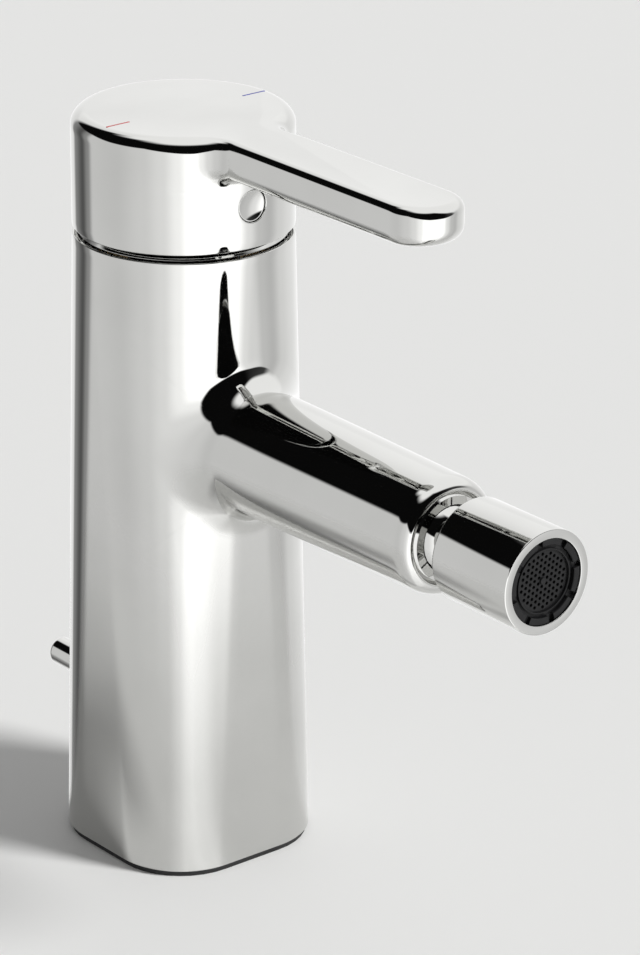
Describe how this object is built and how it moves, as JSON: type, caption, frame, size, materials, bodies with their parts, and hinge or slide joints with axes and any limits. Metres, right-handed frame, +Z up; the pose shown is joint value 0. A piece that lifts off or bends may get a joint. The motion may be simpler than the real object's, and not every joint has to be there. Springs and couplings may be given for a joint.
{
  "type": "bidet mixer",
  "caption": "Chrome single-lever bidet mixer with a ball-jointed outlet on a straight spout and a pop-up waste knob at the back of its column.",
  "frame": {"origin": "on the deck, at the mouth of the fixing stud's thread on the column's axis", "axes": "+Z up along the column, -Y along the spout and lever, +X to the cold side"},
  "size_m": [0.046, 0.1592, 0.1615],
  "materials": {
    "chrome": "polished chrome plate on brass",
    "steel": "bright steel",
    "brass": "turned brass",
    "rubber": "matt black rubber",
    "black_plastic": "black moulded plastic",
    "white_plastic": "white moulded plastic",
    "grey_plastic": "grey moulded plastic",
    "red_plastic": "red moulded plastic",
    "ceramic": "lapped white ceramic",
    "hot_paint": "red enamel line",
    "cold_paint": "blue enamel line"
  },
  "bodies": {
    "mixer_body": {"body": "chrome", "base_gasket": "rubber", "rod_bush": "white_plastic", "cartridge_nut": "brass", "cartridge_housing": "grey_plastic", "cartridge_base": "black_plastic", "port_seals": "rubber", "fixed_disc": "ceramic", "stop_ring": "red_plastic", "ball_retainer": "chrome", "ball_seal": "rubber"},
    "cartridge_rotor": {"rotor": "white_plastic", "pivot_pin": "steel"},
    "lever": {"lever_handle": "chrome", "lever_stem": "steel", "drum_ring": "chrome", "set_screw": "steel", "screw_plug": "chrome", "hot_mark": "hot_paint", "cold_mark": "cold_paint"},
    "disc": {"disc_carrier": "grey_plastic", "moving_disc": "ceramic"},
    "outlet_seat": {"ball_seat": "white_plastic"},
    "outlet": {"nozzle_ball": "chrome", "nozzle_sleeve": "chrome", "aerator_seal": "rubber", "flow_regulator": "white_plastic", "aerator_housing": "black_plastic", "aerator_grid": "black_plastic"},
    "popup": {"knob_pin": "chrome", "pull_rod": "steel"}
  },
  "joints": [
    {"name": "lever_turn", "type": "hinge", "parent": "mixer_body", "child": "cartridge_rotor", "pos_m": [0, 0, 0.1515], "axis": [0, 0, 1], "range_deg": [-45, 45]},
    {"name": "lever_lift", "type": "hinge", "parent": "cartridge_rotor", "child": "lever", "pos_m": [0, 0, 0.1515], "axis": [-1, 0, 0], "range_deg": [0, 20]},
    {"name": "disc_slide", "type": "slide", "parent": "cartridge_rotor", "child": "disc", "axis": [0, -1, 0], "range_m": [0, 0.0038]},
    {"name": "outlet_swivel", "type": "hinge", "parent": "mixer_body", "child": "outlet_seat", "pos_m": [0, -0.08, 0.0945], "axis": [0, -1, 0], "continuous": true},
    {"name": "outlet_tilt", "type": "hinge", "parent": "outlet_seat", "child": "outlet", "pos_m": [0, -0.08, 0.0945], "axis": [1, 0, 0], "range_deg": [-15, 15]},
    {"name": "popup_lift", "type": "slide", "parent": "mixer_body", "child": "popup", "axis": [0, 0, 1], "range_m": [0, 0.018]}
  ],
  "couplings": [
    {"joint": "disc_slide", "follows": "lever_lift", "m_per_rad": 0.0108}
  ]
}
